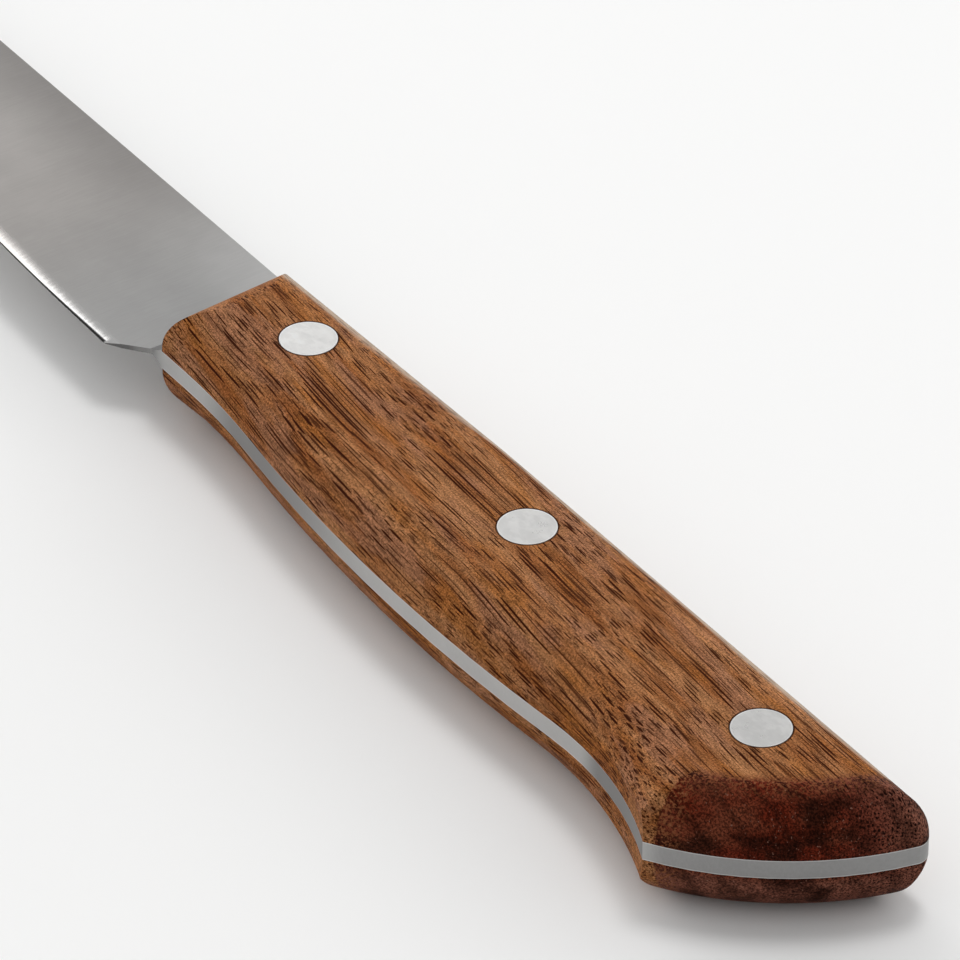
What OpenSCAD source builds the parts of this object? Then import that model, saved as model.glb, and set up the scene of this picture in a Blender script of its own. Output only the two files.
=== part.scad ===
// Full-tang steak knife lying on its side: blade with tang, two wooden scales and three two-piece rivets.
// X runs from the tip to the butt, Y from the edge to the spine, Z is up; lengths in mm, angles in degrees.
// The layout is measured from the axis of the front rivet and the middle plane of the tang.

/* [Blade] */
// Length of the cutting edge from heel to tip, along X
blade_len = 111.6; // [90:0.1:140]
// Distance from the front rivet forward to the heel
heel_reach = 19.1; // [18:0.1:24]
// Depth of the edge below the rivet line at its lowest point
edge_depth = 12.77; // [12:0.01:16]
// Radius of the curved cutting edge
edge_r = 520; // [450:5:700]
// Distance from the heel back to the lowest point of the edge curve
edge_low_setback = 7.3; // [0:0.1:10]
// Height of the straight spine above the rivet line
spine_height = 7.98; // [7:0.02:9]
// Length over which the spine curves down to the tip
spine_drop_len = 48; // [35:0.5:60]
// Blade thickness at the spine
spine_t = 1.9; // [1.5:0.05:2]
// Blade thickness where the flat grind meets the edge bevel at the heel
edge_t = 0.42; // [0.3:0.02:0.7]
// Angle of the edge bevel to the middle plane of the blade
bevel_angle = 10.3; // [8:0.1:18]
// Thickness left at the very edge
edge_land = 0.06; // [0.04:0.01:0.12]
// Run of the slanted choil from the heel back to the tang
choil_run = 4.1; // [2.5:0.1:4.5]
// Radius of the grinding wheel that ends the flat grind
plunge_r = 5; // [3:0.1:8]
// Distance from the front of the wood to the end of the grind
plunge_gap = 0.3; // [0.1:0.05:0.8]

/* [Tang outline] */
// Thickness of the tang
tang_t = 2.1; // [2.05:0.05:3]
// Depth of the straight front part of the belly below the rivet line
belly_depth = 9.37; // [9:0.01:11]
// Distance ahead of the front rivet where the belly starts to swell
swell_start = 9.05; // [7:0.05:10]
// Radius of the hollow curve into the swell
swell_in_r = 94; // [80:1:120]
// Radius of that curve as a share of its end tangent
swell_in_tangent_share = 14; // [13:1:16]
// Radius of the swell
swell_r = 240.9; // [230:0.1:260]
// Radius of the back of the swell as a share of its end tangent
swell_out_tangent_share = 22; // [20:1:26]
// Radius of the hollow curve that flares to the butt
flare_r = 40.4; // [38:0.1:44]
// Radius of the butt end
butt_r = 33.65; // [30:0.05:38]
// Distance from the front rivet back to the centre of the butt curve
butt_centre_x = 63.16; // [60:0.02:68]
// Height of the centre of the butt curve above the rivet line
butt_centre_y = 13.26; // [11:0.02:15]
// Radius of the corner between butt and spine
butt_corner_r = 1.8; // [1.5:0.1:4]

/* [Scales] */
// Thickness of each wooden scale
scale_t = 5.55; // [5:0.05:5.56]
// Distance from the front rivet forward to the front of the scales
front_reach = 14.05; // [13:0.05:15]
// Slant of the front of the scales
front_slant = 5.2; // [0:0.1:8]
// Radius of the rounding along the belly
belly_round_r = 5.86; // [5.86:0.02:7]
// Height of the centre of the belly rounding above the tang face, below it if negative
belly_round_rise = -0.3; // [-0.3:0.02:0.5]
// Radius of the back of the swell as a share of its end tangent, along the rounding
edge_out_tangent_share = 26; // [24:1:28]
// Radius of the flare along the rounding
edge_flare_r = 48.179; // [46:0.001:50]
// Radius of the fuller rounding at the front end of the belly
fill_round_r = 5; // [4.4:0.1:5.4]
// Angle at which that fuller rounding sinks into the main one towards the swell
fill_runout = 1.8; // [1.5:0.1:3]
// Radius of the rounding along the spine, the front and the butt
round_r = 5.1; // [5.1:0.05:6]
// Upright land between the tang and that rounding
round_land = 0.47; // [0.46:0.01:1]
// Radius of the fuller rounding at the front end of the spine
nose_round_r = 6.7; // [6:0.1:7.4]
// Angle at which that fuller rounding runs out towards the butt
nose_runout = 0.66; // [0.5:0.02:1]
// Radius, seen from above, of the crown over the corner between butt and spine
crown_r = 4.5; // [4:0.1:5]
// Radius of the rounding of that crown
crown_round_r = 6.2; // [6:0.05:6.6]

/* [Rivets] */
// Distance between neighbouring rivets
rivet_pitch = 39.3; // [36:0.1:40]
// Diameter of the rivet heads
head_d = 6; // [5:0.1:6.5]
// Thickness of the rivet heads
head_t = 1.5; // [1:0.1:2]
// Outside diameter of the rivet sleeve
sleeve_d = 4; // [3.6:0.1:4.4]
// Diameter of the rivet post
post_d = 2.6; // [2:0.1:3]
// Gap between the sleeve's end and the other head
sleeve_end_gap = 0.3; // [0.1:0.1:0.8]
// Gap between the post's end and the bottom of its bore
post_end_gap = 0.3; // [0.1:0.1:0.8]
// Radial clearance of a head in its counterbore
head_clear = 0.07; // [0.03:0.01:0.15]
// Radial clearance of the sleeve in the wood and the tang
sleeve_clear = 0.05; // [0.02:0.01:0.1]
// Radial clearance of the post in the sleeve
post_clear = 0.01; // [0.01:0.01:0.05]

/* [Hidden] */
// Overrun of every cut beyond the stock
overrun = 2;
// Width of the stock behind the belly outline
stock_w = 32;
// Size of the blocks that trim the belly arcs at their joints
block_len = 160;
// Angle by which each belly arc runs on before it is trimmed
arc_overrun_angle = 12;
// Distance by which one rounding clears its neighbour where it leaves it
ease = 0.02;
// Segments of a full turn, for small and for large radii
round_fn = 96;
arc_fn = 720;

tang_half = tang_t / 2;
handle_half = tang_half + scale_t;

// Blade outline
heel_x = -heel_reach;
tip_x = heel_x - blade_len;
edge_centre = [heel_x + edge_low_setback, edge_r - edge_depth];
function edge_y(x) = edge_centre[1] - sqrt(pow(edge_r, 2) - pow(x - edge_centre[0], 2));
tip_y = edge_y(tip_x);
spine_drop = spine_height - tip_y;
spine_drop_x = tip_x + spine_drop_len;
spine_drop_r = (pow(spine_drop_len, 2) + pow(spine_drop, 2)) / (2 * spine_drop);
choil_x = heel_x + choil_run;

// Flat grind and its run-out
spine_half = spine_t / 2;
edge_half = edge_t / 2;
grind_angle = atan2(spine_half - edge_half, spine_height + edge_depth);
plunge_rise = plunge_r + edge_half - tang_half;
plunge_run = sqrt(pow(plunge_r, 2) - pow(plunge_rise, 2));

// Edge bevel as a cone around the axis of the edge curve, run on beyond the blade at both ends
bevel_out_half = edge_land / 2 - overrun * tan(bevel_angle);
bevel_run = (tang_t - edge_land / 2) / tan(bevel_angle);
edge_heel_angle = 270 + asin((choil_x - edge_centre[0]) / edge_r);
edge_tip_angle = 270 + asin((tip_x - overrun - edge_centre[0]) / edge_r);

// Belly outline, a chain of tangent arcs; each joint lies on the line between the two centres
function up_dir(share) = [2 * share, pow(share, 2) - 1] / (pow(share, 2) + 1);
function down_dir(share) = [up_dir(share)[0], -up_dir(share)[1]];
swell_in_dir = up_dir(swell_in_tangent_share);
swell_in_angle = asin(swell_in_dir[0]);
swell_in_centre = [-swell_start, -belly_depth - swell_in_r];
swell_in_from = [-swell_start, -belly_depth];
swell_in_to = swell_in_centre + swell_in_r * swell_in_dir;
swell_centre = swell_in_centre + (swell_in_r + swell_r) * swell_in_dir;
flare_centre = swell_centre + (swell_r + flare_r) * down_dir(swell_out_tangent_share);

// Lower corner of the butt, where the flare meets the butt curve
butt_centre = [butt_centre_x, butt_centre_y];
centre_gap = norm(butt_centre - flare_centre);
centre_dir = (butt_centre - flare_centre) / centre_gap;
corner_along = (pow(flare_r, 2) - pow(butt_r, 2) + pow(centre_gap, 2)) / (2 * centre_gap);
corner_aside = sqrt(pow(flare_r, 2) - pow(corner_along, 2));
belly_corner = flare_centre + corner_along * centre_dir + corner_aside * [centre_dir[1], -centre_dir[0]];
flare_corner_angle = atan2(belly_corner[0] - flare_centre[0], belly_corner[1] - flare_centre[1]);
flare_end_angle = flare_corner_angle + arc_overrun_angle;

// Corner between butt and spine, an arc inside the butt curve and tangent to the spine
corner_y = spine_height - butt_corner_r;
corner_reach = sqrt(pow(butt_r - butt_corner_r, 2) - pow(butt_centre_y - corner_y, 2));
corner_centre = [butt_centre_x + corner_reach, corner_y];
corner_from_angle = atan2(corner_y - butt_centre_y, corner_reach);
butt_x = corner_centre[0] + butt_corner_r + ease;

// Foremost point of the scales at the spine, and the height of the fuller rounding's centre there
nose_x = -front_reach - spine_height * tan(front_slant);
nose_rise = scale_t + ease - nose_round_r;

// Height of the fuller rounding's centre at the front end of the belly, and the length of its bar
fill_rise = scale_t + ease - fill_round_r;
fill_len = 2 * front_reach;

// Crown over the corner between butt and spine, whose foot touches the corner at its middle
crown_half_angle = (90 - corner_from_angle) / 2;
crown_angle = corner_from_angle + crown_half_angle;
crown_centre = corner_centre - (crown_r - butt_corner_r) * [cos(crown_angle), sin(crown_angle)];
crown_rise = scale_t + ease - crown_round_r;

// Offset that brings the middle of the lowest face to the origin
frame_shift = [-(tip_x + butt_x) / 2, -(belly_corner[1] + spine_height) / 2, handle_half];
knife_len = butt_x - tip_x;

// Rivets
bore_d = sleeve_d + 2 * sleeve_clear;
counterbore_d = head_d + 2 * head_clear;
under_head = handle_half - head_t;
sleeve_bore_floor = -under_head + post_end_gap;

wood_colour = [0.49, 0.32, 0.21];
steel_colour = [0.62, 0.61, 0.59];
rivet_colour = [0.83, 0.82, 0.80];

// Section of an edge of given height: plain, or rounded with the centre at a height above the tang face
module edge_section(height, edge_round_r, rise) {
    if (edge_round_r == 0) {
        square([stock_w, height]);
    } else {
        intersection() {
            square([stock_w, height]);
            union() {
                if (rise > 0) square([stock_w, rise]);
                translate([edge_round_r, 0]) square([stock_w, height]);
                translate([edge_round_r, rise]) circle(r = edge_round_r, $fn = round_fn);
            }
        }
    }
}

// Block ahead of a joint of the belly outline, or behind it
module joint_block(joint, angle, height, behind) {
    translate(joint) rotate(angle) translate([behind ? 0 : -block_len, -block_len / 2, -overrun])
        cube([block_len, block_len, height + 2 * overrun]);
}

// Stock whose lower side follows the belly: straight front, hollow, swell and flare
module belly_stock(height, edge_round_r, rise, out_share, out_r) {
    front_end = -front_reach - stock_w;
    out_dir = down_dir(out_share);
    out_angle = asin(out_dir[0]);
    swell_to = swell_centre + swell_r * out_dir;
    translate([front_end, -belly_depth, 0]) rotate([90, 0, 90])
        linear_extrude(-swell_start - front_end) edge_section(height, edge_round_r, rise);
    intersection() {
        translate(swell_in_centre)
            rotate_extrude(start = 90 - swell_in_angle - arc_overrun_angle,
                    angle = swell_in_angle + 2 * arc_overrun_angle, $fn = arc_fn)
                translate([swell_in_r, 0]) edge_section(height, edge_round_r, rise);
        joint_block(swell_in_from, 0, height, true);
        joint_block(swell_in_to, -swell_in_angle, height, false);
    }
    intersection() {
        translate(swell_centre)
            rotate_extrude(start = 270 - swell_in_angle - arc_overrun_angle,
                    angle = swell_in_angle + out_angle + 2 * arc_overrun_angle, $fn = arc_fn)
                translate([swell_r, 0]) mirror([1, 0]) edge_section(height, edge_round_r, rise);
        joint_block(swell_in_to, -swell_in_angle, height, true);
        joint_block(swell_to, out_angle, height, false);
    }
    intersection() {
        translate(swell_centre + (swell_r + out_r) * out_dir)
            rotate_extrude(start = 90 - flare_end_angle,
                    angle = flare_end_angle + out_angle + arc_overrun_angle, $fn = arc_fn)
                translate([out_r, 0]) edge_section(height, edge_round_r, rise);
        joint_block(swell_to, out_angle, height, true);
    }
}

// Stock with upright sides along the outline of the tang
module outline_stock(height) {
    belly_stock(height, 0, 0, swell_out_tangent_share, flare_r);
}

// Bar that limits the stock at the spine and at the top
module spine_bar(height, edge_round_r, rise) {
    bar_from = -front_reach - stock_w - overrun;
    translate([bar_from, spine_height, 0]) rotate([90, 0, 90])
        linear_extrude(butt_x + overrun - bar_from) mirror([1, 0]) {
            edge_section(height, edge_round_r, rise);
            translate([stock_w, 0]) square([stock_w, height]);
        }
}

// Half section of a disc whose rim is upright up to the land and then rounded
module rim_section(rim_r, height, edge_round_r, land) {
    intersection() {
        translate([0, -overrun]) square([rim_r, height + 2 * overrun]);
        union() {
            translate([0, -overrun]) square([rim_r, land + overrun]);
            if (rim_r > edge_round_r)
                translate([0, -overrun]) square([rim_r - edge_round_r, height + 2 * overrun]);
            if (edge_round_r > 0)
                translate([rim_r - edge_round_r, land]) circle(r = edge_round_r, $fn = round_fn);
        }
    }
}

// Bar that limits the stock at the front of the spine, where the rounding is fuller
module nose_bar() {
    translate([nose_x, spine_height, 0]) rotate([0, -nose_runout, nose_runout]) rotate([90, 0, 90])
        translate([-2 * stock_w, 0, -stock_w]) linear_extrude(knife_len)
            rim_section(2 * stock_w, scale_t, nose_round_r, nose_rise);
}

// Bar that fills out the front end of the belly and sinks into the stock towards the swell
module front_fill() {
    translate([-front_reach, ease - belly_depth, 0]) rotate([0, fill_runout, fill_runout])
        rotate([90, 0, 90]) translate([0, 0, -overrun]) linear_extrude(fill_len)
            edge_section(scale_t + ease, fill_round_r, fill_rise);
}

// Everything behind the butt curve and around the corner to the spine
module butt_cut(height, edge_round_r, land) {
    difference() {
        translate([butt_centre_x, -stock_w, -overrun])
            cube([butt_r + stock_w, 2 * stock_w, height + 2 * overrun]);
        translate(butt_centre)
            rotate_extrude(start = -90, angle = 180, $fn = arc_fn)
                rim_section(butt_r, height, edge_round_r, land);
    }
    translate(corner_centre)
        rotate_extrude(start = corner_from_angle, angle = 90 - corner_from_angle, $fn = arc_fn)
            difference() {
                translate([0, -overrun]) square([butt_corner_r + overrun, height + 2 * overrun]);
                rim_section(butt_corner_r + ease, height, edge_round_r, land);
            }
}

// Everything outside the crown over the corner between butt and spine
module crown_cut() {
    translate(crown_centre)
        rotate_extrude(start = corner_from_angle, angle = 2 * crown_half_angle, $fn = arc_fn)
            difference() {
                translate([0, -overrun]) square([crown_r + overrun, scale_t + 2 * overrun]);
                rim_section(crown_r + ease, scale_t, crown_round_r, crown_rise);
            }
}

// Everything ahead of the slanted front, with its rounding
module front_cut() {
    translate([-front_reach, 0, 0]) rotate(front_slant) rotate([90, 0, 0])
        translate([0, 0, -stock_w]) linear_extrude(2 * stock_w) difference() {
            translate([-2 * stock_w, -overrun]) square([2 * stock_w + round_r, scale_t + 2 * overrun]);
            translate([0, -2 * overrun]) square([stock_w, round_land + 2 * overrun]);
            translate([round_r, round_land]) circle(r = round_r, $fn = round_fn);
        }
}

// One scale above the tang, with its bores and counterbores
module scale_blank() {
    difference() {
        intersection() {
            union() {
                belly_stock(scale_t, belly_round_r, belly_round_rise, edge_out_tangent_share, edge_flare_r);
                front_fill();
            }
            translate([0, 0, -overrun]) outline_stock(scale_t + 2 * overrun);
            spine_bar(scale_t, round_r, round_land);
            nose_bar();
        }
        butt_cut(scale_t, round_r, round_land);
        crown_cut();
        front_cut();
        for (i = [0:2]) translate([i * rivet_pitch, 0, 0]) {
            translate([0, 0, -overrun]) cylinder(d = bore_d, h = scale_t + 2 * overrun, $fn = round_fn);
            translate([0, 0, scale_t - head_t])
                cylinder(d = counterbore_d, h = head_t + overrun, $fn = round_fn);
        }
    }
}

// Flat plate of the tang inside the outline of the handle
module tang_plate() {
    translate([0, 0, -tang_half]) difference() {
        intersection() {
            outline_stock(tang_t);
            spine_bar(tang_t, 0, 0);
        }
        butt_cut(tang_t, 0, tang_t);
        translate([-front_reach - 2 * stock_w, -stock_w, -overrun])
            cube([2 * stock_w, 2 * stock_w, tang_t + 2 * overrun]);
    }
}

// Outline of the blade with its curved edge, dropped point and choil
module blade_outline() {
    difference() {
        intersection() {
            translate([tip_x - overrun, -edge_depth - overrun])
                square([-swell_start - tip_x + overrun, spine_height + edge_depth + overrun]);
            translate(edge_centre) circle(r = edge_r, $fn = arc_fn);
            union() {
                translate([spine_drop_x, -edge_depth - overrun])
                    square([-swell_start - spine_drop_x, spine_height + edge_depth + overrun]);
                translate([spine_drop_x, spine_height - spine_drop_r])
                    circle(r = spine_drop_r, $fn = arc_fn);
            }
        }
        polygon([[heel_x, edge_y(heel_x)], [choil_x, -belly_depth], [0, -belly_depth],
            [0, -edge_depth - overrun], [heel_x, -edge_depth - overrun]]);
    }
}

// Steel removed above the blade by the flat grind, ending in the wheel's curve just ahead of the wood
module grind_cut() {
    intersection() {
        translate([tip_x - overrun, -edge_depth, edge_half]) rotate([grind_angle, 0, 0])
            translate([0, -overrun, 0]) cube([knife_len, edge_depth + spine_height + 2 * overrun, tang_t]);
        translate([-front_reach - plunge_gap - plunge_run, 0, 0]) rotate(front_slant) rotate([90, 0, 0])
            translate([0, 0, -stock_w]) linear_extrude(2 * stock_w) {
                translate([-knife_len, -tang_t]) square([knife_len, 4 * tang_t]);
                translate([0, plunge_r + edge_half]) circle(r = plunge_r, $fn = round_fn);
            }
    }
}

// Steel removed above the edge by the bevel
module bevel_cut() {
    translate(edge_centre) rotate(edge_tip_angle)
        rotate_extrude(angle = edge_heel_angle - edge_tip_angle, $fn = arc_fn)
            polygon([[edge_r - bevel_run, tang_t], [edge_r + overrun, bevel_out_half],
                [edge_r + overrun, tang_t]]);
}

module blade() {
    color(steel_colour) translate(frame_shift) difference() {
        union() {
            tang_plate();
            translate([0, 0, -tang_half]) linear_extrude(tang_t) blade_outline();
        }
        grind_cut();
        mirror([0, 0, 1]) grind_cut();
        bevel_cut();
        mirror([0, 0, 1]) bevel_cut();
        for (i = [0:2]) translate([i * rivet_pitch, 0, -tang_t])
            cylinder(d = bore_d, h = 2 * tang_t, $fn = round_fn);
    }
}

module upper_scale() {
    color(wood_colour) translate(frame_shift) translate([0, 0, tang_half]) scale_blank();
}

module lower_scale() {
    color(wood_colour) translate(frame_shift) mirror([0, 0, 1]) translate([0, 0, tang_half]) scale_blank();
}

// Upper rivet half: head and solid post
module rivet_post(index) {
    color(rivet_colour) translate(frame_shift) translate([index * rivet_pitch, 0, 0]) {
        translate([0, 0, under_head]) cylinder(d = head_d, h = head_t, $fn = round_fn);
        translate([0, 0, sleeve_bore_floor + post_end_gap])
            cylinder(d = post_d, h = handle_half - sleeve_bore_floor - post_end_gap, $fn = round_fn);
    }
}

// Lower rivet half: head and hollow sleeve
module rivet_sleeve(index) {
    color(rivet_colour) translate(frame_shift) translate([index * rivet_pitch, 0, 0]) difference() {
        union() {
            translate([0, 0, -handle_half]) cylinder(d = head_d, h = head_t, $fn = round_fn);
            translate([0, 0, -handle_half])
                cylinder(d = sleeve_d, h = handle_half + under_head - sleeve_end_gap, $fn = round_fn);
        }
        translate([0, 0, sleeve_bore_floor])
            cylinder(d = post_d + 2 * post_clear, h = handle_half - sleeve_bore_floor, $fn = round_fn);
    }
}

module front_rivet_post() rivet_post(0);
module front_rivet_sleeve() rivet_sleeve(0);
module middle_rivet_post() rivet_post(1);
module middle_rivet_sleeve() rivet_sleeve(1);
module rear_rivet_post() rivet_post(2);
module rear_rivet_sleeve() rivet_sleeve(2);

blade();
upper_scale();
lower_scale();
front_rivet_post();
front_rivet_sleeve();
middle_rivet_post();
middle_rivet_sleeve();
rear_rivet_post();
rear_rivet_sleeve();
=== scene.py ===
"""Steak knife: satin blade with full tang, two oiled hardwood scales and three two-piece rivets.

X runs from the tip to the butt along the grain, Y from the edge to the spine, Z is up. Objects are in
metres. Finishes are worked out in millimetres from Object coordinates, so they stay fixed to the pieces.
"""

import bpy
from mathutils import Matrix, Vector

MM = 0.001

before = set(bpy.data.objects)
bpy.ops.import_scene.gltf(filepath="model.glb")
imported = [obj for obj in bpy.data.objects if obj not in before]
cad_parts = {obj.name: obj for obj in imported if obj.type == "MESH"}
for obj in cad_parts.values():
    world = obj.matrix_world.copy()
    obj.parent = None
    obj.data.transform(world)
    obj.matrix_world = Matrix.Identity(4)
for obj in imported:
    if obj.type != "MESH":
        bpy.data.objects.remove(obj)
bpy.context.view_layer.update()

# Camera, from the viewing angle of the photograph: where it stands and its three axes
CAMERA_PLACE = Vector((580.454, -359.764, 472.011)) * MM
CAMERA_RIGHT = Vector((0.56118, 0.82768, 0.00480))
CAMERA_UP = Vector((-0.48178, 0.32193, 0.81501))
CAMERA_BACK = Vector((0.67303, -0.45968, 0.57942))
LENS_MM = 300.0
SENSOR_MM = 36.0
CLIP_END = 50.0

# Studio: pale floor, high sky, low lobes of light by side and level, what metal mirrors, and two lamps
FLOOR_HALF = 6.0
HIGH_SKY = 0.51
LOW_LIGHTS = (((-1.0, 0.0, 0.0), 4.5), ((0.0, 1.0, 0.0), 2.4), ((0.707, -0.707, 0.0), 0.6))
LOW_SPREAD = 3.0
LOW_TOP = 0.35
HIGH_FROM = 0.65
MIRRORED_HORIZON = 0.80
MIRRORED_ZENITH = 0.48
KEY_AIM = Vector((0.03, 0.0, 0.0))
KEY_PLACE = Vector((-0.155, 0.321, 1.141))
KEY_SIZE = (0.35, 0.35)
KEY_POWER = 3.55
BEVEL_LAMP_AIM = Vector((-0.012, -0.009, 0.007))
BEVEL_LAMP_PLACE = Vector((-1.02, 0.30, 1.07))
BEVEL_LAMP_SIZE = (0.5, 0.26)
BEVEL_LAMP_POWER = 0.74

# Places on the knife in millimetres: rivets, tang, curve of the cutting edge and curve of the butt
FRONT_RIVET = (17.333, 3.662)
RIVET_PITCH = 39.3
RIVET_RADIUS = 3.0
MIDDLE_HEIGHT = 6.6
TANG_HALF = 1.05
EDGE_CENTRE = (5.533, 510.892, 0.0)
EDGE_RADIUS = 520.0
HEEL_X = -1.77
SPINE_Y = 11.64
BUTT_CENTRE = (80.493, 16.922, 0.0)
BUTT_RADIUS = 33.65
BUTT_X = 114.0

# Edge of the blade in millimetres: polish with its painted highlight and the painted shade of a dark edge
# line, drawn in or out from some way before the heel
POLISH_HIGHLIGHT_WIDTH = 1.75
POLISH_HIGHLIGHT_DRAWN_IN = 1.45
POLISH_HIGHLIGHT_CHANGE_X = -25.0
EDGE_SHADE_FULL = 0.09
EDGE_SHADE_END = 0.18
EDGE_SHADE_DRAWN_OUT = 0.38
EDGE_SHADE_CHANGE_X = -26.0
SHOULDER_WIDTH = 1.7
SHOULDER_CURVE = -0.012
SCRATCH_DEPTH = 0.0012

# Wood in millimetres: bend, slants and wander of the grain, two sizes of vessels, place of the end grain
GRAIN_BEND = -2.7
GRAIN_SLANT = 0.04
GRAIN_RISE = 0.052
GRAIN_WANDER = (0.0, 2.0, 2.0)
RING_ACROSS = 0.30
RING_UP = 0.13
LARGE_CELL = 0.41
LARGE_RADIUS = 0.105
SMALL_CELL = 0.28
SMALL_RADIUS = 0.062
END_GRAIN_DEPTH = 5.6
END_GRAIN_X = 99.3
END_GRAIN_LEAN = 0.0082
END_BORDER_DEPTH = 3.2
END_BORDER_RUN = 3.0

# Noise: cells per millimetre along X, Y and Z, or the same in all directions
WANDER_STRETCH = (0.04, 0.10, 0.10)
BAND_STRETCH = (0.05, 0.55, 0.55)
PATCH_STRETCH = (0.08, 0.40, 0.40)
STREAK_STRETCH = (0.07, 1.7, 1.7)
FIBRE_STRETCH = (0.30, 5.5, 5.5)
END_TONE_STRETCH = (0.2, 0.16, 0.25)
END_CLOUD_STRETCH = (0.15, 0.20, 0.34)
STEEL_SCRATCHES = (6.0, 0.25, 2.0)
BEVEL_FRAY_STRETCH = (3.0, 0.3, 0.3)
RIVET_SCRATCHES = (0.9, 1.1, 1.0)
RIVET_CLOUD_STRETCH = (0.5, 0.8, 0.8)
SMUDGE_SCALE = 0.22
SPECKLE_SCALE = 5.6
END_FRAY_SCALE = 1.6
END_GRIT_SCALE = 4.5
END_SPECK_SCALE = 3.4

# Shader values
WOOD_SPECULAR = 0.012
STEEL_ROUGHNESS = 0.30
STEEL_SPREAD = 0.08
ALUMINIUM_ROUGHNESS = 0.29
ALUMINIUM_SPREAD = 0.14
FLOOR_ROUGHNESS = 0.7
FLOOR_SPECULAR = 0.1

# Colours, linear
WOOD_BROWN = (0.222, 0.074, 0.021)
WOOD_TAN = (0.332, 0.149, 0.062)
WOOD_ROSE = (0.282, 0.128, 0.068)
WOOD_ORANGE = (0.290, 0.100, 0.020)
WOOD_STREAK = (0.120, 0.036, 0.010)
# Pale colour of the painted sheen along the spine's rounding
WOOD_SHEEN_PAINT = (0.44, 0.36, 0.28)
VESSEL_DARK = (0.034, 0.007, 0.0012)
END_RED = (0.092, 0.0130, 0.0055)
END_BROWN = (0.128, 0.034, 0.017)
END_ROSE = (0.165, 0.068, 0.046)
END_RING = (0.020, 0.0055, 0.0030)
END_PIT = (0.010, 0.0022, 0.0013)
# Light colour of the painted glints on the end grain
END_GLINT = (0.30, 0.15, 0.11)
END_BORDER = (0.250, 0.088, 0.036)
STEEL = (0.398, 0.395, 0.390)
STEEL_WARM = (0.420, 0.399, 0.383)
ALUMINIUM = (0.955, 0.947, 0.930)
FLOOR_WHITE = (0.90, 0.90, 0.895)


class Graph:
    """The nodes of one material, world or group, wired as they are added."""

    def __init__(self, tree):
        self.tree = tree

    def feed(self, socket, value):
        """Links a socket to another one, or sets its plain value."""
        if isinstance(value, bpy.types.NodeSocket):
            self.tree.links.new(value, socket)
        elif socket.type == "RGBA" and len(value) == 3:
            socket.default_value = (*value, 1.0)
        else:
            socket.default_value = value

    def node(self, kind, inputs=None, **settings):
        """Adds a node, with its settings and with its inputs by name or number."""
        made = self.tree.nodes.new("ShaderNode" + kind)
        for name, value in settings.items():
            setattr(made, name, value)
        for name, value in (inputs or {}).items():
            self.feed(made.inputs[name], value)
        return made

    def math(self, operation, first, second=0.0):
        return self.node("Math", {0: first, 1: second}, operation=operation).outputs[0]

    def times(self, first, second):
        return self.math("MULTIPLY", first, second)

    def plus(self, first, second):
        return self.math("ADD", first, second)

    def minus(self, first, second):
        return self.math("SUBTRACT", first, second)

    def larger(self, first, second):
        return self.math("MAXIMUM", first, second)

    def power(self, value, exponent):
        """A power of a value, which counts as 0 where it is below 0."""
        return self.math("POWER", self.larger(value, 0.0), exponent)

    def less(self, share, value):
        """What is left of 1 when a share of a value is taken away."""
        return self.minus(1.0, self.times(value, share))

    def vector(self, operation, first, second):
        return self.node("VectorMath", {0: first, 1: second}, operation=operation).outputs[0]

    def stretch(self, point, factors):
        return self.vector("MULTIPLY", point, factors)

    def length(self, vector):
        return self.node("VectorMath", {0: vector}, operation="LENGTH").outputs[1]

    def mix(self, factor, first, second, blend="MIX"):
        inputs = {0: factor, 6: first, 7: second}
        return self.node("Mix", inputs, data_type="RGBA", blend_type=blend).outputs[2]

    def shade(self, colour, value):
        """A colour times a value."""
        return self.mix(1.0, colour, self.join(value, value, value), "MULTIPLY")

    def smooth(self, value, low, high, to_low=0.0, to_high=1.0):
        """Smooth step of a value: to_low at low, to_high at high, which may be the smaller of the two."""
        inputs = {0: value, 1: low, 2: high, 3: to_low, 4: to_high}
        return self.node("MapRange", inputs, interpolation_type="SMOOTHSTEP").outputs[0]

    def noise(self, point, scale=1.0, detail=2.0, roughness=0.5):
        inputs = {"Vector": point, "Scale": scale, "Detail": detail, "Roughness": roughness}
        return self.node("TexNoise", inputs).outputs[0]

    def parts(self, vector):
        return self.node("SeparateXYZ", {0: vector}).outputs

    def join(self, x, y, z):
        return self.node("CombineXYZ", {0: x, 1: y, 2: z}).outputs[0]

    def millimetres(self):
        """The surface point in millimetres, in the frame that all pieces share."""
        point = self.node("TexCoord").outputs["Object"]
        return self.stretch(point, (1 / MM, 1 / MM, 1 / MM))

    def normal(self):
        return self.node("TexCoord").outputs["Normal"]


def new_group(name, inputs, outputs):
    """An empty shader node group with named sockets: its tree, graph, given inputs and outputs to feed."""
    tree = bpy.data.node_groups.new(name, "ShaderNodeTree")
    for direction, sockets in (("INPUT", inputs), ("OUTPUT", outputs)):
        for socket, kind in sockets.items():
            tree.interface.new_socket(socket, in_out=direction, socket_type="NodeSocket" + kind)
    given = tree.nodes.new("NodeGroupInput").outputs
    made = tree.nodes.new("NodeGroupOutput").inputs
    return tree, Graph(tree), given, made


def new_material(name):
    """A new material, its graph and the inputs of its Principled shader, already wired to the output."""
    material = bpy.data.materials.new(name)
    material.use_nodes = True
    material.node_tree.nodes.clear()
    graph = Graph(material.node_tree)
    shader = graph.node("BsdfPrincipled")
    graph.node("OutputMaterial", {"Surface": shader.outputs[0]})
    return material, graph, shader.inputs


def place_group(graph, tree, **inputs):
    """Puts a group into a graph; its outputs by name."""
    made = graph.tree.nodes.new("ShaderNodeGroup")
    made.node_tree = tree
    for name, value in inputs.items():
        graph.feed(made.inputs[name], value)
    return made.outputs


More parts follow.
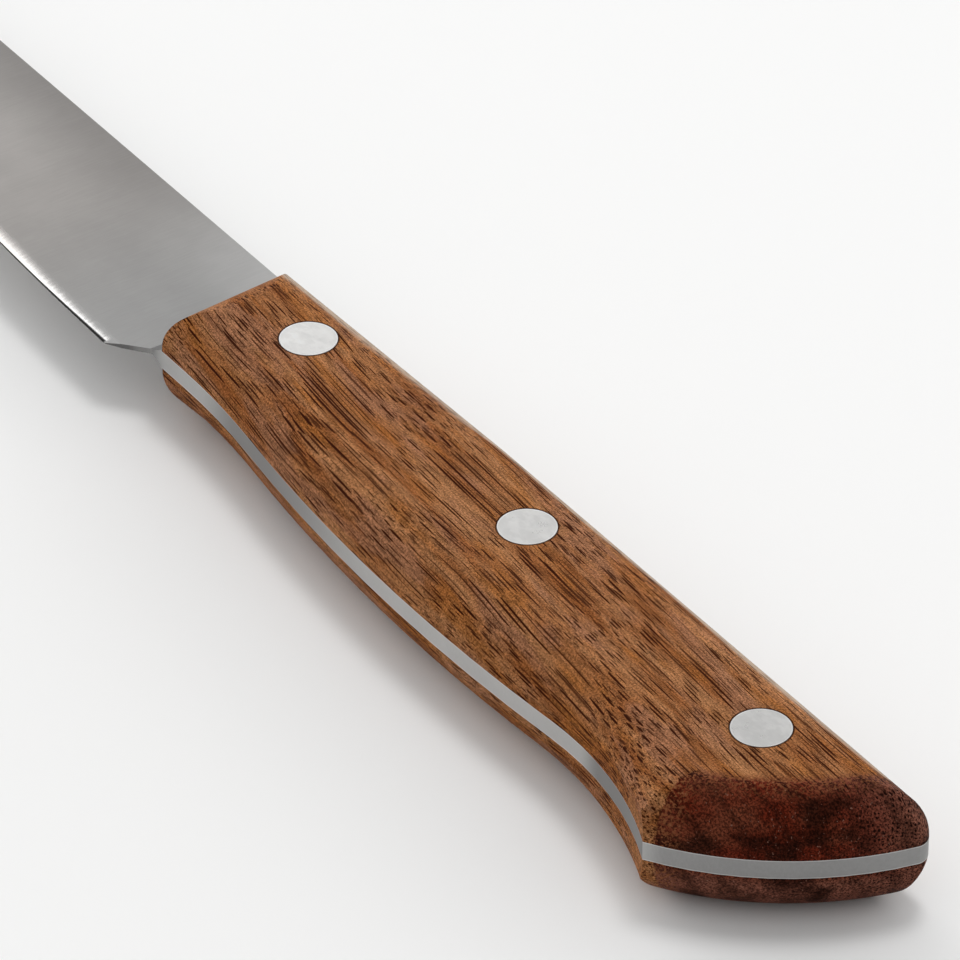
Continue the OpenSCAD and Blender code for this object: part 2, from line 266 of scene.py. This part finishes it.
def vessel_group():
    """Wood vessels: tubes along the grain, one to a cell of the given width, all in millimetres.

    Across the grain, a vessel is where the nearest cell point is closer than a radius that differs
    from cell to cell. A surface that lies nearly along the grain cuts the tubes into long dashes.
    """
    tree, graph, given, made = new_group(
        "wood_vessels",
        {"Across": "Vector", "Cell": "Float", "Radius": "Float"},
        {"Mask": "Float", "Tone": "Float"})
    cell = given["Cell"]
    cells = graph.vector("DIVIDE", given["Across"], graph.join(cell, cell, cell))
    inputs = {"Vector": cells, "Scale": 1.0, "Randomness": 0.85}
    voronoi = graph.node("TexVoronoi", inputs, voronoi_dimensions="2D")
    size_chance, tone_chance = graph.parts(voronoi.outputs["Color"])[0:2]
    radius = graph.times(given["Radius"], graph.smooth(size_chance, 0.0, 1.0, 0.6, 1.2))
    core = graph.times(radius, 0.86)
    distance = graph.times(voronoi.outputs["Distance"], cell)
    graph.feed(made["Mask"], graph.smooth(distance, radius, core))
    graph.feed(made["Tone"], tone_chance)
    return tree


def satin_group():
    """Satin metal: fine parallel scratches and soft smudges, as a height, a roughness and a tone."""
    tree, graph, given, made = new_group(
        "satin_scratches",
        {"Point": "Vector", "Stretch": "Vector", "Roughness": "Float", "Spread": "Float"},
        {"Height": "Float", "Roughness": "Float", "Tone": "Float"})
    scratches = graph.noise(graph.stretch(given["Point"], given["Stretch"]), 1.0, 3.0, 0.6)
    smudges = graph.noise(given["Point"], SMUDGE_SCALE, 3.0, 0.55)
    both = graph.plus(graph.times(scratches, 0.5), graph.times(smudges, 0.5))
    swing = graph.times(graph.minus(both, 0.5), given["Spread"])
    graph.feed(made["Height"], scratches)
    graph.feed(made["Roughness"], graph.plus(given["Roughness"], swing))
    graph.feed(made["Tone"], both)
    return tree


def grain_space(graph, point):
    """The point, shifted so that X follows the grain: bent to the belly in front and wandering a little."""
    px = graph.parts(point)[0]
    ahead = graph.math("DIVIDE", graph.minus(BUTT_X, px), BUTT_X)
    bend = graph.plus(graph.times(graph.power(ahead, 3.0), GRAIN_BEND), graph.times(px, GRAIN_SLANT))
    rise = graph.times(px, GRAIN_RISE)
    slow = graph.stretch(point, WANDER_STRETCH)
    wander = graph.node("TexNoise", {"Vector": slow, "Scale": 1.0, "Detail": 1.0}).outputs["Color"]
    wander = graph.stretch(graph.vector("SUBTRACT", wander, (0.5, 0.5, 0.5)), GRAIN_WANDER)
    return graph.vector("ADD", graph.vector("ADD", point, wander), graph.join(0.0, bend, rise))


def end_grain_colour(graph, point, grain, rings, pores):
    """Dark red end grain, rosier by the spine and below the tang, with clouds, grit, pits and painted
    glints.
    """
    py, pz = graph.parts(point)[1:3]
    tones = graph.noise(graph.stretch(grain, END_TONE_STRETCH), detail=3.0)
    colour = graph.mix(graph.smooth(tones, 0.38, 0.66), END_RED, END_BROWN)
    by_spine = graph.smooth(py, 1.0, 13.0, 0.0, 0.9)
    below_tang = graph.smooth(pz, 6.0, 4.5, 0.0, 0.7)
    colour = graph.mix(graph.larger(by_spine, below_tang), colour, END_ROSE)
    colour = graph.mix(graph.times(rings, 0.5), colour, END_RING)
    clouds = graph.noise(graph.stretch(point, END_CLOUD_STRETCH))
    colour = graph.mix(graph.smooth(clouds, 0.50, 0.66, 0.0, 0.85), colour, END_RING)
    grit = graph.noise(point, END_GRIT_SCALE, 2.0, 0.7)
    colour = graph.shade(colour, graph.smooth(grit, 0.35, 0.68, 0.45, 1.75))
    pits = graph.times(pores, graph.smooth(py, -6.0, 8.0, 0.45, 1.0))
    colour = graph.mix(pits, colour, END_PIT)
    # Painted glints: light specks scattered over the end grain
    painted_glints = graph.noise(point, END_SPECK_SCALE, 1.0, 0.6)
    return graph.mix(graph.smooth(painted_glints, 0.68, 0.78, 0.0, 0.6), colour, END_GLINT)


def end_grain_place(graph, point, grain):
    """Masks of the end grain, which begins with the butt's rounding and belly corner, and of its border."""
    px, py, pz = graph.parts(point)[0:3]
    fray = graph.times(graph.minus(graph.noise(grain, END_FRAY_SCALE, 3.0, 0.7), 0.5), 1.2)
    from_butt = graph.vector("SUBTRACT", graph.join(px, py, 0.0), BUTT_CENTRE)
    depth = graph.minus(BUTT_RADIUS, graph.length(from_butt))
    behind = graph.smooth(graph.plus(depth, fray), END_GRAIN_DEPTH + 0.6, END_GRAIN_DEPTH - 0.9)
    from_tang = graph.minus(graph.math("ABSOLUTE", graph.minus(pz, MIDDLE_HEIGHT)), TANG_HALF)
    lean = graph.times(graph.power(from_tang, 3.0), END_GRAIN_LEAN)
    corner_x = graph.plus(graph.plus(px, lean), graph.times(fray, 0.5))
    corner = graph.smooth(corner_x, END_GRAIN_X - 0.15, END_GRAIN_X + 0.15)
    border = graph.smooth(depth, END_GRAIN_DEPTH - END_BORDER_DEPTH, END_GRAIN_DEPTH)
    corner_border = graph.smooth(corner_x, END_GRAIN_X + END_BORDER_RUN, END_GRAIN_X)
    return graph.times(behind, corner), graph.larger(border, corner_border)


def rivet_distance(graph, px, py):
    """Distance of a point from the axis of the nearest rivet, seen from above."""
    half_pitch = RIVET_PITCH / 2
    along = graph.minus(px, FRONT_RIVET[0])
    nearest = graph.node("Math", {0: along, 1: half_pitch, 2: -half_pitch}, operation="WRAP").outputs[0]
    return graph.length(graph.join(nearest, graph.minus(py, FRONT_RIVET[1]), 0.0))


def oiled_wood(vessels):
    """Oiled hardwood, solid through the piece: slow colour bands, fibres, vessels and dark end grain."""
    material, graph, shader = new_material("oiled_hardwood")
    point = graph.millimetres()
    px, py = graph.parts(point)[0:2]
    normal_x, normal_y = graph.parts(graph.normal())[0:2]
    grain = grain_space(graph, point)
    gy, gz = graph.parts(grain)[1:3]

    # Colour bands and patches along the grain
    bands = graph.noise(graph.stretch(grain, BAND_STRETCH), 1.0, 3.0, 0.55)
    patches = graph.noise(graph.stretch(grain, PATCH_STRETCH))
    colour = graph.mix(graph.smooth(bands, 0.30, 0.70), WOOD_BROWN, WOOD_TAN)
    colour = graph.mix(graph.smooth(patches, 0.50, 0.64, 0.0, 0.7), colour, WOOD_ROSE)
    colour = graph.mix(graph.smooth(patches, 0.46, 0.32, 0.0, 0.6), colour, WOOD_ORANGE)

    # Growth rings, streaks, fibres and fine speckle
    across = graph.plus(graph.times(gy, RING_ACROSS), graph.times(gz, RING_UP))
    ring_wave = graph.math("FRACT", graph.plus(across, graph.times(patches, 1.4)))
    rings = graph.smooth(graph.math("PINGPONG", ring_wave, 0.5), 0.18, 0.5)
    colour = graph.mix(graph.times(rings, 0.12), colour, WOOD_STREAK)
    streaks = graph.noise(graph.stretch(grain, STREAK_STRETCH))
    colour = graph.mix(graph.smooth(streaks, 0.56, 0.80, 0.0, 0.3), colour, WOOD_STREAK)
    fibres = graph.noise(graph.stretch(grain, FIBRE_STRETCH), 1.0, 2.0, 0.6)
    speckle = graph.noise(point, SPECKLE_SCALE, 1.0, 0.7)
    fine_tone = graph.smooth(fibres, 0.25, 0.75, 0.66, 1.34)
    fine_tone = graph.times(fine_tone, graph.smooth(speckle, 0.28, 0.72, 0.50, 1.52))
    colour = graph.shade(colour, fine_tone)

    # Vessels of two sizes, larger in some bands than in others and rubbed faint on the front rounding
    crowd = graph.smooth(bands, 0.64, 0.36, 0.80, 1.12)
    tubes = graph.join(gy, gz, 0.0)
    large_radius = graph.times(crowd, LARGE_RADIUS)
    small_radius = graph.times(crowd, SMALL_RADIUS)
    large = place_group(graph, vessels, Across=tubes, Cell=LARGE_CELL, Radius=large_radius)
    small = place_group(graph, vessels, Across=tubes, Cell=SMALL_CELL, Radius=small_radius)
    large_dark = graph.times(large["Mask"], graph.smooth(large["Tone"], 0.0, 0.6, 0.75, 1.0))
    small_dark = graph.times(small["Mask"], graph.smooth(small["Tone"], 0.0, 1.0, 0.40, 0.95))
    pores = graph.larger(large_dark, small_dark)
    rubbed = graph.times(pores, graph.smooth(normal_x, -0.20, -0.50, 1.0, 0.35))
    side = graph.mix(rubbed, colour, VESSEL_DARK)

    # Painted sheen: a pale line along the rounding of the spine
    sheen_facing = graph.plus(normal_y, graph.times(graph.minus(bands, 0.5), 0.3))
    painted_sheen = graph.times(graph.smooth(sheen_facing, 0.46, 0.62, 0.0, 0.8), graph.smooth(sheen_facing, 0.90, 0.78))
    side = graph.mix(graph.times(painted_sheen, graph.less(0.6, pores)), side, WOOD_SHEEN_PAINT)

    # Painted shade: a dark line in the gap around each rivet
    from_axis = rivet_distance(graph, px, py)
    rivet_gap_shade = graph.smooth(from_axis, RIVET_RADIUS + 0.24, RIVET_RADIUS + 0.12, 0.0, 0.85)
    side = graph.mix(rivet_gap_shade, side, VESSEL_DARK)

    # End grain, flecked with lighter brown along its border
    end = end_grain_colour(graph, point, grain, rings, pores)
    behind, border = end_grain_place(graph, point, grain)
    flecks = graph.smooth(graph.noise(point, END_SPECK_SCALE, 2.0, 0.6), 0.48, 0.60, 0.0, 0.85)
    end = graph.mix(graph.times(border, flecks), end, END_BORDER)
    graph.feed(shader["Base Color"], graph.mix(behind, side, end))

    graph.feed(shader["Roughness"], graph.smooth(fibres, 0.2, 0.8, 0.46, 0.60))
    shader["Specular IOR Level"].default_value = WOOD_SPECULAR
    height = graph.minus(graph.times(fibres, 0.25), pores)
    bump = graph.node("Bump", {"Strength": 0.3, "Distance": 0.05 * MM, "Height": height})
    graph.feed(shader["Normal"], bump.outputs[0])
    return material


def satin_steel(satin):
    """Ground stainless steel: satin faces and a polished edge bevel, with a painted highlight on the bevel,
    a painted highlight along the rim of the tang, and painted shade on the flats, the edge and the plunge.
    """
    material, graph, shader = new_material("satin_steel")
    point = graph.millimetres()
    px, py, pz = graph.parts(point)[0:3]
    normal_x, _, normal_z = graph.parts(graph.normal())[0:3]
    upright = graph.math("ABSOLUTE", normal_z)
    on_faces = graph.smooth(upright, 0.7, 0.9)
    on_edges = graph.smooth(upright, 0.5, 0.3)
    finish = place_group(
        graph, satin, Point=point, Stretch=STEEL_SCRATCHES, Roughness=STEEL_ROUGHNESS, Spread=STEEL_SPREAD)
    tone = graph.smooth(finish["Tone"], 0.3, 0.7, 0.95, 1.05)

    # Polish of the bevel with its painted highlight, frayed at its shoulder, and the painted shade of a
    # dark line along the cutting edge
    to_edge = graph.vector("SUBTRACT", graph.join(px, py, 0.0), EDGE_CENTRE)
    reach = graph.minus(EDGE_RADIUS, graph.length(to_edge))
    before_heel = graph.times(graph.smooth(px, HEEL_X + 0.2, HEEL_X - 0.2), on_faces)
    fray = graph.noise(graph.stretch(point, BEVEL_FRAY_STRETCH))
    frayed = graph.plus(reach, graph.times(graph.minus(fray, 0.5), 0.5))
    frayed = graph.times(frayed, graph.smooth(px, POLISH_HIGHLIGHT_CHANGE_X, HEEL_X, 1.0, POLISH_HIGHLIGHT_DRAWN_IN))
    polish_and_highlight = graph.times(graph.smooth(frayed, POLISH_HIGHLIGHT_WIDTH, 0.0), before_heel)
    # Painted shade: a dark line along the cutting edge, wider towards the heel
    line_reach = graph.smooth(px, EDGE_SHADE_CHANGE_X, HEEL_X, 1.0, EDGE_SHADE_DRAWN_OUT)
    line_reach = graph.times(reach, line_reach)
    edge_shade_line = graph.times(graph.smooth(line_reach, EDGE_SHADE_END, EDGE_SHADE_FULL), before_heel)

    # Face of the bevel, told by its slope: painted shade where it isn't polished, so that it shows no
    # brighter than the flats
    bevel_face = graph.smooth(upright, 0.996, 0.987)
    bevel_face = graph.times(bevel_face, graph.smooth(px, HEEL_X + 3.0, HEEL_X + 2.0))
    bevel_painted_shade = graph.times(bevel_face, graph.minus(1.0, polish_and_highlight))
    tone = graph.times(tone, graph.less(0.22, bevel_painted_shade))

    # Painted light and shade on the flats: painted shade along the spine, painted light towards the tip and
    # beside the handle
    painted_flat_shading = graph.smooth(px, -15.0, -45.0, 0.90, 1.06)
    by_spine = graph.smooth(py, SPINE_Y - 10.0, SPINE_Y)
    painted_spine_shading = graph.minus(graph.smooth(px, -30.0, 0.0, 0.74, 1.22), painted_flat_shading)
    painted_flat_shading = graph.plus(painted_flat_shading, graph.times(by_spine, painted_spine_shading))
    tone = graph.times(tone, graph.plus(1.0, graph.times(on_faces, graph.minus(painted_flat_shading, 1.0))))

    # Edges of the tang: a painted highlight beside the wood, with more painted light in front of the butt
    # and less round it, and darker before the handle
    in_handle = graph.smooth(px, 1.0, 5.0)
    from_middle = graph.math("ABSOLUTE", graph.minus(pz, MIDDLE_HEIGHT))
    tang_rim_highlight = graph.smooth(from_middle, TANG_HALF - 0.13, TANG_HALF - 0.04, -0.05, 0.5)
    tang_rim_highlight = graph.minus(tang_rim_highlight, graph.smooth(px, 97.0, 100.5, -0.25, 0.22))
    tang_edge_light_and_shade = graph.minus(graph.times(in_handle, graph.plus(tang_rim_highlight, 0.45)), 0.45)
    tone = graph.plus(tone, graph.times(tang_edge_light_and_shade, on_edges))

    # Painted highlight of the polish and painted shade of the edge line over it all, and painted shade
    # where the plunge of the grind faces the tip
    tone = graph.plus(tone, graph.times(graph.power(polish_and_highlight, 1.7), 1.2))
    tone = graph.times(tone, graph.less(0.99, edge_shade_line))
    tone = graph.times(tone, graph.smooth(normal_x, -0.02, -0.12, 1.0, 0.5))
    colour = graph.mix(graph.smooth(px, -30.0, 0.0), STEEL_WARM, STEEL)
    graph.feed(shader["Base Color"], graph.shade(colour, tone))
    shader["Metallic"].default_value = 1.0
    rough = graph.minus(finish["Roughness"], graph.times(polish_and_highlight, 0.12))
    graph.feed(shader["Roughness"], graph.plus(rough, graph.times(on_edges, 0.15)))

    shoulder = graph.times(graph.power(graph.minus(SHOULDER_WIDTH, reach), 2.0), SHOULDER_CURVE)
    height = graph.plus(graph.times(finish["Height"], SCRATCH_DEPTH), shoulder)
    bump = graph.node("Bump", {"Strength": 1.0, "Distance": MM, "Height": height})
    graph.feed(shader["Normal"], bump.outputs[0])
    return material


def satin_aluminium(satin):
    """Rivet heads sanded flush with the wood: bright satin with cloudy smudges, a painted highlight on the
    rim and painted shade towards the butt.
    """
    material, graph, shader = new_material("satin_aluminium")
    point = graph.millimetres()
    px, py = graph.parts(point)[0:2]
    finish = place_group(
        graph, satin, Point=point, Stretch=RIVET_SCRATCHES,
        Roughness=ALUMINIUM_ROUGHNESS, Spread=ALUMINIUM_SPREAD)
    clouds = graph.noise(graph.stretch(point, RIVET_CLOUD_STRETCH), 1.0, 3.0, 0.6)
    tone = graph.smooth(finish["Tone"], 0.3, 0.7, 0.95, 1.04)
    tone = graph.times(tone, graph.smooth(clouds, 0.42, 0.60, 0.95, 1.03))

    # Painted highlight on the rim, and painted shade on the heads towards the butt
    along = graph.minus(px, FRONT_RIVET[0])
    painted_shade_to_butt = graph.smooth(along, -RIVET_RADIUS, 2 * RIVET_PITCH + RIVET_RADIUS, 1.0, 0.83)
    from_axis = rivet_distance(graph, px, py)
    rivet_rim_highlight = graph.smooth(from_axis, RIVET_RADIUS - 0.18, RIVET_RADIUS - 0.10, 1.0, 1.15)
    tone = graph.times(tone, graph.times(painted_shade_to_butt, rivet_rim_highlight))
    graph.feed(shader["Base Color"], graph.shade(ALUMINIUM, tone))
    shader["Metallic"].default_value = 1.0
    graph.feed(shader["Roughness"], finish["Roughness"])
    bump = graph.node("Bump", {"Strength": 0.05, "Distance": 0.01 * MM, "Height": clouds})
    graph.feed(shader["Normal"], bump.outputs[0])
    return material


def dress(names, material):
    """Gives CAD nodes a finish through their material slots."""
    for name in names:
        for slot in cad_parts[name].material_slots:
            slot.link = "OBJECT"
            slot.material = material


def floor():
    """Plain pale floor under the knife."""
    low, high = -FLOOR_HALF, FLOOR_HALF
    corners = [(low, low, 0), (high, low, 0), (high, high, 0), (low, high, 0)]
    mesh = bpy.data.meshes.new("floor")
    mesh.from_pydata(corners, [], [(0, 1, 2, 3)])
    made = bpy.data.objects.new("floor", mesh)
    bpy.context.scene.collection.objects.link(made)
    material, _, shader = new_material("pale_floor")
    shader["Base Color"].default_value = (*FLOOR_WHITE, 1.0)
    shader["Roughness"].default_value = FLOOR_ROUGHNESS
    shader["Specular IOR Level"].default_value = FLOOR_SPECULAR
    mesh.materials.append(material)


def soft_light(name, place, aim, size, power, mirrored=True):
    """Rectangular studio lamp at a place, turned to a point; its sides in metres, its power in watts.

    A lamp that isn't mirrored leaves no bright patch in the metal.
    """
    lamp = bpy.data.lights.new(name, "AREA")
    lamp.shape = "RECTANGLE"
    lamp.size, lamp.size_y = size
    lamp.energy = power
    made = bpy.data.objects.new(name, lamp)
    made.visible_glossy = mirrored
    made.location = place
    made.rotation_euler = (aim - place).to_track_quat("-Z", "Y").to_euler()
    bpy.context.scene.collection.objects.link(made)


def studio_world():
    """Pale surroundings: a high sky, and below it lobes of light that fall off with the azimuth.

    A lobe is its level times a power of the cosine between its side and the direction, seen from above.
    Metal mirrors a plain pale backdrop instead, which darkens a little towards the zenith.
    """
    world = bpy.data.worlds.new("studio")
    world.use_nodes = True
    world.node_tree.nodes.clear()
    graph = Graph(world.node_tree)
    direction = graph.node("TexCoord").outputs["Generated"]
    up = graph.parts(direction)[2]
    level = graph.math("SQRT", graph.minus(1.0, graph.times(up, up)))
    low = graph.smooth(up, HIGH_FROM, LOW_TOP)
    strength = graph.smooth(up, LOW_TOP, HIGH_FROM, 0.0, HIGH_SKY)
    for side, brightness in LOW_LIGHTS:
        towards = graph.node("VectorMath", {0: direction, 1: side}, operation="DOT_PRODUCT").outputs[1]
        lobe = graph.power(graph.math("DIVIDE", towards, level), LOW_SPREAD)
        lobe = graph.times(graph.times(lobe, low), brightness)
        strength = graph.plus(strength, lobe)
    mirrored = graph.smooth(up, 0.0, 1.0, MIRRORED_HORIZON, MIRRORED_ZENITH)
    glossy = graph.node("LightPath").outputs["Is Glossy Ray"]
    change = graph.times(glossy, graph.minus(mirrored, strength))
    strength = graph.plus(strength, change)
    light = graph.node("Background", {"Color": (1.0, 1.0, 1.0), "Strength": strength})
    graph.node("OutputWorld", {"Surface": light.outputs[0]})
    bpy.context.scene.world = world


def camera():
    """Long lens at the photograph's viewing angle."""
    lens = bpy.data.cameras.new("camera")
    lens.lens = LENS_MM
    lens.sensor_width = SENSOR_MM
    lens.clip_end = CLIP_END
    made = bpy.data.objects.new("camera", lens)
    turn = Matrix((CAMERA_RIGHT, CAMERA_UP, CAMERA_BACK)).transposed()
    made.matrix_world = Matrix.Translation(CAMERA_PLACE) @ turn.to_4x4()
    bpy.context.scene.collection.objects.link(made)
    bpy.context.scene.camera = made


camera()
floor()
studio_world()
soft_light("key", KEY_PLACE, KEY_AIM, KEY_SIZE, KEY_POWER, mirrored=False)
soft_light("bevel_lamp", BEVEL_LAMP_PLACE, BEVEL_LAMP_AIM, BEVEL_LAMP_SIZE, BEVEL_LAMP_POWER)

vessels = vessel_group()
satin = satin_group()
dress(["upper_scale", "lower_scale"], oiled_wood(vessels))
dress(["blade"], satin_steel(satin))
dress([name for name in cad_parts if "rivet" in name], satin_aluminium(satin))

bpy.context.scene.view_settings.view_transform = "Standard"
